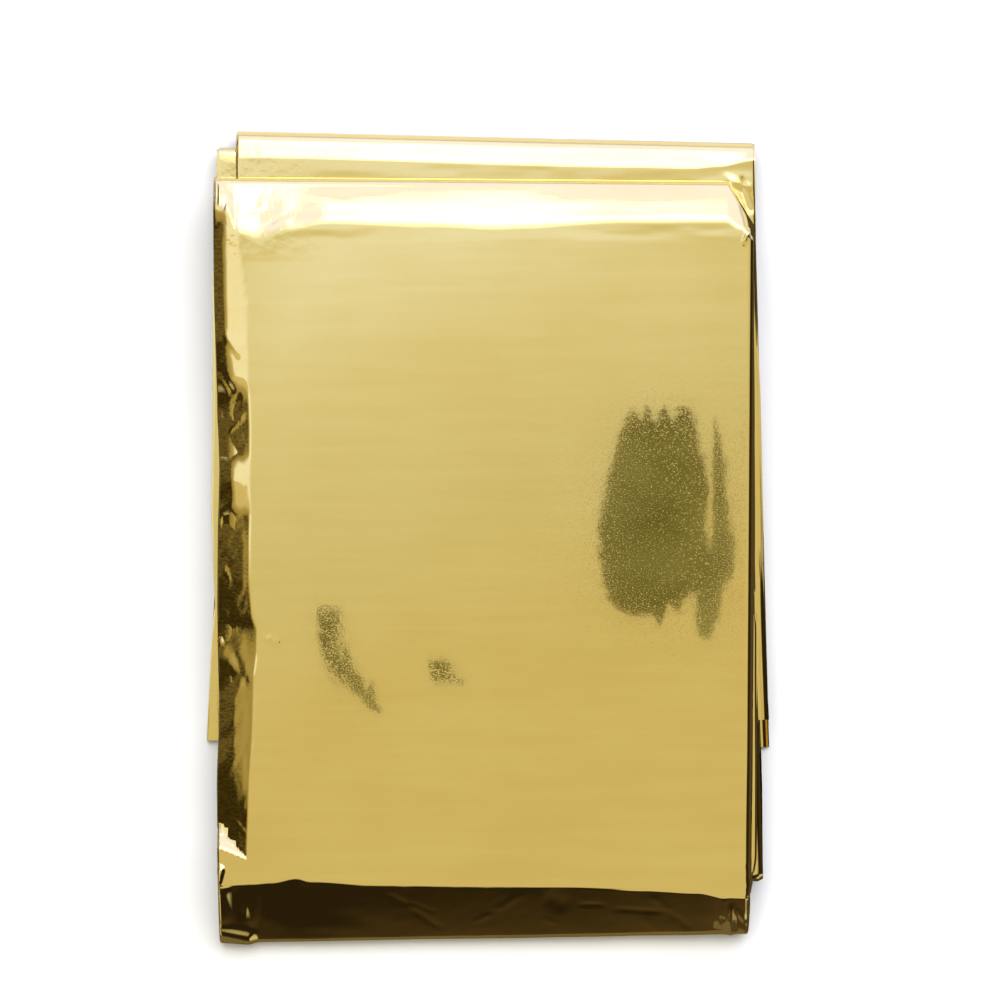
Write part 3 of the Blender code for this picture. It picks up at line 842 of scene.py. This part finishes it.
def film_material(finish):
    """Gold-tinted metallised film with fine wrinkles, scratches and dull speckles, and a darker
    mottled tint on its steep left shoulder, which is painted shade.
    """
    if FILM_MATERIAL in bpy.data.materials:
        return bpy.data.materials[FILM_MATERIAL]
    material = bpy.data.materials.new(FILM_MATERIAL)
    material.use_nodes = True
    tree = material.node_tree
    shader = tree.nodes["Principled BSDF"]
    shader.inputs["Metallic"].default_value = 1.0
    place = vector_parts(tree, "ShaderNodeTexCoord", "Object")
    facing = vector_parts(tree, "ShaderNodeNewGeometry", "Normal")
    is_crinkled = math_value(
        tree, "MULTIPLY", map_range(tree, place["X"], CRINKLED_X),
        map_range(tree, place["Y"], CRINKLED_Y))
    is_mottled_and_shaded = math_value(
        tree, "MULTIPLY", map_range(tree, place["X"], MOTTLED_X),
        map_range(tree, facing["X"], MOTTLE_AND_SHADE_SLOPE))
    mottle_and_shade = texture(tree, "mottle_and_shade")
    tint = math_value(tree, "ADD", texture(tree, "clouds"), texture(tree, "drawn"))
    colour = mixed_colour(
        tree, map_range(tree, tint, TINT_VALUES), finish.gold, finish.deep_gold)
    # Painted shade: the darker tint goes, mottled, only where the left shoulder faces steeply to the
    # left.
    mottled_shade = math_value(tree, "MULTIPLY", map_range(tree, mottle_and_shade, MOTTLE_SHADE_VALUES), is_mottled_and_shaded)
    tree.links.new(mixed_colour(tree, mottled_shade, colour, finish.mottle_and_shade), shader.inputs["Base Color"])
    normal = None
    for height, distance in (
        (math_value(tree, "MULTIPLY", texture(tree, "crinkles"), is_crinkled), finish.crinkle_height),
        (math_value(tree, "MULTIPLY", mottle_and_shade, is_mottled_and_shaded), finish.mottle_height),
        (texture(tree, "wrinkles"), finish.wrinkle_height),
        (texture(tree, "scratches"), finish.scratch_height),
        (texture(tree, "grain"), finish.grain_height),
    ):
        normal = bump_normal(tree, height, distance, normal)
    tree.links.new(normal, shader.inputs["Normal"])
    rough = map_range(
        tree, texture(tree, "speckle"), SPECKLE_VALUES,
        to=(finish.roughness, finish.speckle_roughness))
    tree.links.new(rough, shader.inputs["Roughness"])
    return material


# Where the floor's painted reflection changes to its colour on the right and to its colour beyond the
# top end. The film sees the floor in these painted darker colours, which stand in for shade, while
# the camera sees it pale.
PAINTED_REFLECTION_BESIDE = (0.042, 0.046)
PAINTED_REFLECTION_BEYOND = (0.064, 0.068)
FLOOR_ROUGHNESS = 0.9
FLOOR_SPECULAR = 0.2


def floor_material(stage):
    """A plain pale floor, which the film mirrors in painted darker colours: a painted reflection that
    stands in for shade.
    """
    material = bpy.data.materials.new("pale_floor")
    material.use_nodes = True
    tree = material.node_tree
    shader = tree.nodes["Principled BSDF"]
    mirrored = tree.nodes.new("ShaderNodeLightPath").outputs["Is Glossy Ray"]
    place = vector_parts(tree, "ShaderNodeTexCoord", "Object")
    colour = mixed_colour(
        tree, map_range(tree, place["X"], PAINTED_REFLECTION_BESIDE), stage.painted_floor_reflection,
        stage.painted_right_floor_reflection)
    colour = mixed_colour(
        tree, map_range(tree, place["Y"], PAINTED_REFLECTION_BEYOND), colour, stage.painted_rear_floor_reflection)
    # Painted reflection: glossy rays see the floor in the darker colours above, as painted shade, and
    # the camera sees its plain colour.
    colour = mixed_colour(tree, mirrored, stage.floor_colour, colour)
    tree.links.new(colour, shader.inputs["Base Color"])
    shader.inputs["Roughness"].default_value = FLOOR_ROUGHNESS
    shader.inputs["Specular IOR Level"].default_value = FLOOR_SPECULAR
    return material


CARD_VALUES = (0.35, 0.65)  # of its texture, from its colour to its darker streaks


def card_material(stage):
    """The streaked grey of the cards that hang over the packet beside the camera."""
    material = bpy.data.materials.new("grey_card")
    material.use_nodes = True
    tree = material.node_tree
    tree.nodes.clear()
    emission = tree.nodes.new("ShaderNodeEmission")
    streaks = map_range(tree, texture(tree, "card"), CARD_VALUES)
    colour = mixed_colour(tree, streaks, stage.card_colour, stage.deep_card_colour)
    tree.links.new(colour, emission.inputs["Color"])
    output = tree.nodes.new("ShaderNodeOutputMaterial")
    tree.links.new(emission.outputs["Emission"], output.inputs["Surface"])
    return material


# ---------------------------------------------------------------------------
# Stage
# ---------------------------------------------------------------------------

FRAME_WIDTH = 0.165
VIEW_CENTRE = (0.0018, 0.0061)
CAMERA_HEIGHT = 0.90
SENSOR_WIDTH = 36.0
FLOOR_SIZE = 3.0
FLOOR_GAP = 0.00002


def make_camera():
    """A camera straight above the packet, which takes in the frame's width there."""
    bpy.ops.object.camera_add(location=(*VIEW_CENTRE, CAMERA_HEIGHT), rotation=(0.0, 0.0, 0.0))
    camera = bpy.context.object
    camera.name = "camera"
    camera.data.sensor_width = SENSOR_WIDTH
    camera.data.lens = SENSOR_WIDTH * CAMERA_HEIGHT / FRAME_WIDTH
    bpy.context.scene.camera = camera


def make_floor(stage):
    """The floor, a hair below the packet."""
    bpy.ops.mesh.primitive_plane_add(size=FLOOR_SIZE, location=(0.0, 0.0, -FLOOR_GAP))
    floor = bpy.context.object
    floor.name = "floor"
    floor.data.materials.append(floor_material(stage))


# Dark cards hang over the packet beside the camera. Each is given by its mirror image's outline on
# the film of the front.
CARD_HEIGHT = 1.0
CARDS = {
    "side_card": (
        (0.0700, 0.0872), (0.0712, 0.0850), (0.0722, 0.0882), (0.0735, 0.0846), (0.0752, 0.0880),
        (0.0760, 0.0852), (0.0776, 0.0876), (0.0787, 0.0878), (0.0799, 0.0860),
        (0.0805, 0.0808), (0.0817, 0.0792), (0.0823, 0.0740), (0.0817, 0.0680), (0.0826, 0.0644),
        (0.0830, 0.0700), (0.0832, 0.0760), (0.0834, 0.0836), (0.0843, 0.0868), (0.0854, 0.0828),
        (0.0860, 0.0776), (0.0864, 0.0668), (0.0863, 0.0616), (0.0846, 0.0588), (0.0838, 0.0540),
        (0.0822, 0.0496), (0.0806, 0.0510), (0.0803, 0.0574), (0.0788, 0.0568), (0.0778, 0.0544),
        (0.0754, 0.0562), (0.0738, 0.0518), (0.0724, 0.0542), (0.0700, 0.0540), (0.0668, 0.0560),
        (0.0648, 0.0600), (0.0640, 0.0680), (0.0655, 0.0770), (0.0680, 0.0840),
    ),
    "low_card": (
        (0.0200, 0.0560), (0.0224, 0.0548), (0.0221, 0.0501), (0.0224, 0.0476), (0.0237, 0.0445),
        (0.0251, 0.0424), (0.0257, 0.0414), (0.0264, 0.0433), (0.0278, 0.0404), (0.0288, 0.0393),
        (0.0297, 0.0384), (0.0286, 0.0378), (0.0271, 0.0388), (0.0257, 0.0393), (0.0248, 0.0400),
        (0.0235, 0.0412), (0.0219, 0.0437), (0.0205, 0.0468), (0.0199, 0.0501), (0.0199, 0.0533),
    ),
    "middle_card": (
        (0.0374, 0.0468), (0.0400, 0.0464), (0.0406, 0.0446), (0.0424, 0.0432), (0.0402, 0.0437),
        (0.0384, 0.0430), (0.0378, 0.0446),
    ),
}
MIRROR_STEP = 0.0005


def mirrored_place(folds, x, y):
    """Where the camera's line to a place on the front goes from there, at the cards' height."""
    x, y = np.array((x, x + MIRROR_STEP, x)), np.array((y, y, y + MIRROR_STEP))
    height = ply_height(folds, TOP_PLY, x, y) + folds.ply_thickness / 2.0 + uneven("broad", x, y)
    normal = unit(np.array((height[0] - height[1], height[0] - height[2], MIRROR_STEP)))
    place = PACKET_CORNER + (x[0], y[0], height[0])
    line = place - (*VIEW_CENTRE, CAMERA_HEIGHT)
    line = line - 2.0 * np.dot(line, normal) * normal
    return place + line * (CARD_HEIGHT - place[2]) / line[2]


def make_cards(folds, stage):
    """The dark cards, which only the film sees."""
    material = card_material(stage)
    for name, outline in CARDS.items():
        bpy.ops.mesh.primitive_circle_add(vertices=len(outline), fill_type="NGON")
        card = bpy.context.object
        card.name = name
        places = np.array([mirrored_place(folds, x, y) for x, y in outline])
        card.data.vertices.foreach_set("co", places.reshape(-1))
        card.data.update()
        card.visible_camera = False
        card.visible_shadow = False
        card.data.materials.append(material)


# The light goes by direction: its share to the right (side), towards the top end (along) and up.
# The ceiling's colours, by how far along the packet they lie.
CEILING_TURN = -0.23
CEILING_PLACES = (
    (-0.035, "near_light"), (0.007, "middle_light"), (0.048, "far_light"), (0.079, "end_light"),
)
CEILING_UP = (0.74, 0.88)  # from none to full, as in all that follow
CEILING_LEFT = (-0.07, -0.30)
CEILING_NEAR = (-0.008, -0.018)

# The dim room below it, whose corners are pale. They lie in diagonal directions.
ROOM_UP = (0.0, 0.4)
CORNER_WALLS = (0.24, 0.38)
CORNER_TOPS = (0.58, 0.42)

# The room's left side is darker towards the bottom end. Its colours from there upwards lie each
# between two shares of the way up.
LEFT_SIDE = (-0.30, -0.45)
LEFT_ALONG = (-0.045, -0.015)
LEFT_STEPS = ((0.635, 0.695, "brown_light"), (0.71, 0.76, "olive_light"))
LEFT_CEILING = (0.77, 0.87)

# The soft box beyond the top end, its bright core and how it darkens near the floor. To the floor,
# all of it from BOX_LIT upwards is as bright as its core.
BOX_ALONG = (0.10, 0.46)
BOX_SIDE = (-0.50, -0.22)
CORE_UP = (0.71, 0.79)
CORE_SIDE = (-0.10, -0.045)
BOX_LIT = (0.30, 0.68)
BOX_FOOT = (0.0, 0.30)
BOX_FOOT_SHARES = (0.45, 1.0)
FLOOR_LIGHT = 1.9  # how much more of the light the floor gets


def ceiling_light(tree, stage, side, along):
    """The ceiling's colour, which differs along the packet and on the left, and the left's own."""
    run = math_value(tree, "ADD", along, math_value(tree, "MULTIPLY", side, CEILING_TURN))
    left = mixed_colour(
        tree, map_range(tree, along, CEILING_NEAR), stage.side_light, stage.near_light)
    colour = mixed_colour(
        tree, map_range(tree, side, CEILING_LEFT, smooth=True),
        colour_ramp(tree, run, CEILING_PLACES, stage), left)
    return colour, left


def room_light(tree, stage, side, along, up):
    """The dim room with its pale corners under the ceiling, and the room's left side."""
    diagonal = math_value(tree, "ABSOLUTE", math_value(tree, "MULTIPLY", side, along), 0.0)
    corner = math_value(
        tree, "MULTIPLY", map_range(tree, diagonal, CORNER_WALLS, smooth=True),
        map_range(tree, up, CORNER_TOPS, smooth=True))
    room = mixed_colour(tree, map_range(tree, up, ROOM_UP), stage.horizon_light, stage.room_light)
    ceiling, left_ceiling = ceiling_light(tree, stage, side, along)
    room = mixed_colour(
        tree, map_range(tree, up, CEILING_UP, smooth=True),
        mixed_colour(tree, corner, room, stage.corner_light), ceiling)
    left = mixed_colour(
        tree, map_range(tree, along, LEFT_ALONG), stage.low_left_light, stage.left_light)
    left = mixed_colour(tree, corner, left, stage.corner_light)
    for low, high, colour in LEFT_STEPS:
        left = mixed_colour(tree, map_range(tree, up, (low, high)), left, getattr(stage, colour))
    left = mixed_colour(tree, map_range(tree, up, LEFT_CEILING), left, left_ceiling)
    return mixed_colour(tree, map_range(tree, side, LEFT_SIDE), room, left)


def box_light(tree, stage, side, up, is_diffuse):
    """The soft box, with its bright core and its darker foot."""
    core = math_value(
        tree, "MULTIPLY", map_range(tree, up, CORE_UP), map_range(tree, side, CORE_SIDE))
    whole = math_value(tree, "MULTIPLY", is_diffuse, map_range(tree, up, BOX_LIT))
    core = math_value(tree, "MAXIMUM", core, whole)
    box = mixed_colour(tree, core, stage.low_box_light, stage.box_light)
    return scaled_colour(tree, box, map_range(tree, up, BOX_FOOT, to=BOX_FOOT_SHARES))


def make_light(stage):
    """A soft lit ceiling, a brighter soft box beyond the top end and a dim room low down."""
    world = bpy.context.scene.world or bpy.data.worlds.new("Studio")
    bpy.context.scene.world = world
    world.use_nodes = True
    tree = world.node_tree
    tree.nodes.clear()
    path = tree.nodes.new("ShaderNodeLightPath").outputs
    side, along, up = vector_parts(tree, "ShaderNodeTexCoord", "Generated")
    beyond = math_value(
        tree, "MULTIPLY", map_range(tree, along, BOX_ALONG, smooth=True),
        map_range(tree, side, BOX_SIDE))
    lit = mixed_colour(
        tree, beyond, room_light(tree, stage, side, along, up),
        box_light(tree, stage, side, up, path["Is Diffuse Ray"]))
    seen = tree.nodes.new("ShaderNodeBackground")
    seen.inputs["Color"].default_value = (*stage.backdrop_colour, 1.0)
    light = tree.nodes.new("ShaderNodeBackground")
    tree.links.new(lit, light.inputs["Color"])
    strength = map_range(tree, path["Is Diffuse Ray"], (0.0, 1.0), to=(1.0, FLOOR_LIGHT))
    tree.links.new(strength, light.inputs["Strength"])
    choose = tree.nodes.new("ShaderNodeMixShader")
    tree.links.new(path["Is Camera Ray"], choose.inputs["Fac"])
    tree.links.new(light.outputs["Background"], choose.inputs[1])
    tree.links.new(seen.outputs["Background"], choose.inputs[2])
    output = tree.nodes.new("ShaderNodeOutputWorld")
    tree.links.new(choose.outputs["Shader"], output.inputs["Surface"])


# ---------------------------------------------------------------------------
# Add-on
# ---------------------------------------------------------------------------

def length_property(name, description, default, precision=4):
    """A length as a property."""
    return FloatProperty(
        name=name, description=description, default=default, precision=precision,
        unit="LENGTH", subtype="DISTANCE")


def colour_property(name, description, default, most=1.0):
    """A colour as a property, or a light's colour, whose parts can be more than 1."""
    return FloatVectorProperty(
        name=name, description=description, default=default, subtype="COLOR", min=0.0, max=most)


class FoldSizes(bpy.types.PropertyGroup):
    """How the film is folded."""

    ply_thickness: length_property("Ply thickness", "How thick a ply of pleated film is", 0.0011)
    ply_gap: length_property(
        "Gap between plies", "How far apart the plies lie in the middle", 0.0003)
    crown: length_property(
        "Crown", "How much fuller the stack is in the middle than at its rim", 0.0005)
    film_layers: IntProperty(
        name="Film layers", description="Layers of film in each ply", default=36, min=2)
    sheet_width: length_property("Sheet width", "Width of the blanket when it is spread out", 1.6)
    sheet_length: length_property(
        "Sheet length", "Length of the blanket when it is spread out", 2.1)


class FilmFinish(bpy.types.PropertyGroup):
    """How the film looks."""

    gold: colour_property("Gold", "The film's main tint", (0.94, 0.735, 0.245))
    deep_gold: colour_property(
        "Deep gold", "The film's tint where it is a little deeper", (0.91, 0.695, 0.215))
    # Painted shade: this darker tint goes only where the left shoulder faces steeply to the left.
    mottle_and_shade: colour_property(
        "Mottle", "The darker tint in the fine mottling of the left shoulder", (0.50, 0.43, 0.17))
    roughness: FloatProperty(
        name="Roughness", description="How far the film blurs what it mirrors", default=0.022,
        min=0.0, max=1.0)
    speckle_roughness: FloatProperty(
        name="Speckle roughness", description="How far its fine dull speckles blur it", default=0.21,
        min=0.0, max=1.0)
    mottle_height: length_property(
        "Mottle height", "How high the fine mottling of the left shoulder is",
        0.000012, precision=6)
    crinkle_height: length_property(
        "Crinkle height", "How high the crinkles of the top left corner are", 0.00006, precision=6)
    wrinkle_height: length_property(
        "Wrinkle height", "How high the fine wrinkles are", 0.0000025, precision=6)
    scratch_height: length_property(
        "Scratch height", "How high the fine scratches are", 0.0000006, precision=6)
    grain_height: length_property(
        "Grain height", "How high the finest grain is", 0.0000003, precision=6)


class StageLook(bpy.types.PropertyGroup):
    """The floor and the light."""

    floor_colour: colour_property("Floor", "The floor's colour", (0.78, 0.78, 0.69))
    # Painted reflection: this and the next two colours are the floor only as the film mirrors it.
    # They are painted darker to stand in for shade.
    painted_floor_reflection: colour_property(
        "Mirrored floor", "The floor's colour as the film mirrors it", (0.12, 0.10, 0.06))
    painted_right_floor_reflection: colour_property(
        "Mirrored floor, right", "The mirrored floor's colour on the right", (0.05, 0.04, 0.02))
    painted_rear_floor_reflection: colour_property(
        "Mirrored floor, rear", "The mirrored floor's colour beyond the top end",
        (0.64, 0.65, 0.74))
    backdrop_colour: colour_property("Backdrop", "What shows beyond the floor", (0.88, 0.88, 0.87))
    near_light: colour_property(
        "Near ceiling", "The ceiling's light towards the bottom end",
        (0.672, 0.625, 0.51), most=4.0)
    middle_light: colour_property(
        "Middle ceiling", "The ceiling's light over the packet", (0.697, 0.695, 0.69), most=4.0)
    far_light: colour_property(
        "Far ceiling", "The ceiling's light towards the top end", (0.774, 0.79, 0.865), most=4.0)
    end_light: colour_property(
        "End ceiling", "The ceiling's light beside the soft box", (0.89, 0.98, 1.45), most=4.0)
    side_light: colour_property(
        "Side ceiling", "The ceiling's light towards the left", (0.97, 1.03, 1.45), most=4.0)
    olive_light: colour_property(
        "Olive side", "The left side's light where its ceiling ends", (0.42, 0.375, 0.25), most=4.0)
    brown_light: colour_property(
        "Brown side", "The left side's light below that", (0.39, 0.325, 0.16), most=4.0)
    box_light: colour_property(
        "Soft box", "The light of the soft box beyond the top end", (4.2, 4.2, 4.4), most=10.0)
    low_box_light: colour_property(
        "Soft box's foot", "The light of the soft box low down", (1.10, 1.24, 2.75), most=10.0)
    room_light: colour_property(
        "Room", "The dim light from the sides of the room", (0.022, 0.016, 0.010))
    horizon_light: colour_property("Horizon", "The dim light from low down", (0.075, 0.052, 0.030))
    left_light: colour_property(
        "Left room", "The dim light from low down on the left", (0.150, 0.118, 0.058))
    low_left_light: colour_property(
        "Left room, bottom", "That light towards the bottom end", (0.050, 0.037, 0.012))
    corner_light: colour_property(
        "Corners", "The light from the room's pale corners", (0.62, 0.60, 0.52), most=4.0)
    card_colour: colour_property("Cards", "The light of the grey cards", (0.235, 0.245, 0.155))
    deep_card_colour: colour_property(
        "Deep cards", "The light of the cards' darker streaks", (0.135, 0.13, 0.05))


class FOIL_OT_film_layers(bpy.types.Operator):
    """Make the pleated film inside and between the plies"""

    bl_idname = "foil.film_layers"
    bl_label = "Film Layers"

    def execute(self, context):
        folds = context.scene.foil_folds
        layers = lay_film("film_layers", pleated_layers(folds), LAYER_SHARP_ANGLE)
        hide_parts(NODE)
        return {"FINISHED"}


class FOIL_OT_front_film(bpy.types.Operator):
    """Make the outermost film of the front, with its creases and its sloped flank"""

    bl_idname = "foil.front_film"
    bl_label = "Front Film"

    def execute(self, context):
        lay_film("front_film", front_surface(context.scene.foil_folds), SKIN_SHARP_ANGLE)
        return {"FINISHED"}


class FOIL_OT_back_film(bpy.types.Operator):
    """Make the outermost film of the back and of the rear top fold"""

    bl_idname = "foil.back_film"
    bl_label = "Back Film"

    def execute(self, context):
        lay_film("back_film", back_surface(context.scene.foil_folds), SKIN_SHARP_ANGLE)
        return {"FINISHED"}


class FOIL_OT_stage(bpy.types.Operator):
    """Make the camera, the floor, the cards and the light"""

    bl_idname = "foil.stage"
    bl_label = "Stage"

    def execute(self, context):
        stage = context.scene.foil_stage
        deselect_all()
        make_camera()
        make_floor(stage)
        make_cards(context.scene.foil_folds, stage)
        make_light(stage)
        context.scene.view_settings.view_transform = "Standard"
        return {"FINISHED"}


class FOIL_PT_blanket(bpy.types.Panel):
    """The blanket's sizes, its finish and the steps that make it"""

    bl_idname = "FOIL_PT_blanket"
    bl_label = "Foil Blanket"
    bl_space_type = "VIEW_3D"
    bl_region_type = "UI"
    bl_category = "Foil Blanket"

    def draw(self, context):
        for group in (context.scene.foil_folds, context.scene.foil_finish, context.scene.foil_stage):
            box = self.layout.box()
            for name in group.__annotations__:
                box.prop(group, name)
        for operator in OPERATORS:
            self.layout.operator(operator.bl_idname)


GROUPS = (
    ("foil_folds", FoldSizes),
    ("foil_finish", FilmFinish),
    ("foil_stage", StageLook),
)
OPERATORS = (FOIL_OT_front_film, FOIL_OT_back_film, FOIL_OT_film_layers, FOIL_OT_stage)


def register():
    for name, group in GROUPS:
        bpy.utils.register_class(group)
        setattr(bpy.types.Scene, name, PointerProperty(type=group))
    for operator in OPERATORS:
        bpy.utils.register_class(operator)
    bpy.utils.register_class(FOIL_PT_blanket)


def unregister():
    bpy.utils.unregister_class(FOIL_PT_blanket)
    for operator in reversed(OPERATORS):
        bpy.utils.unregister_class(operator)
    for name, group in reversed(GROUPS):
        delattr(bpy.types.Scene, name)
        bpy.utils.unregister_class(group)


def main():
    register()
    bpy.ops.foil.front_film()
    bpy.ops.foil.back_film()
    bpy.ops.foil.film_layers()
    bpy.ops.foil.stage()


if __name__ == "__main__":
    main()
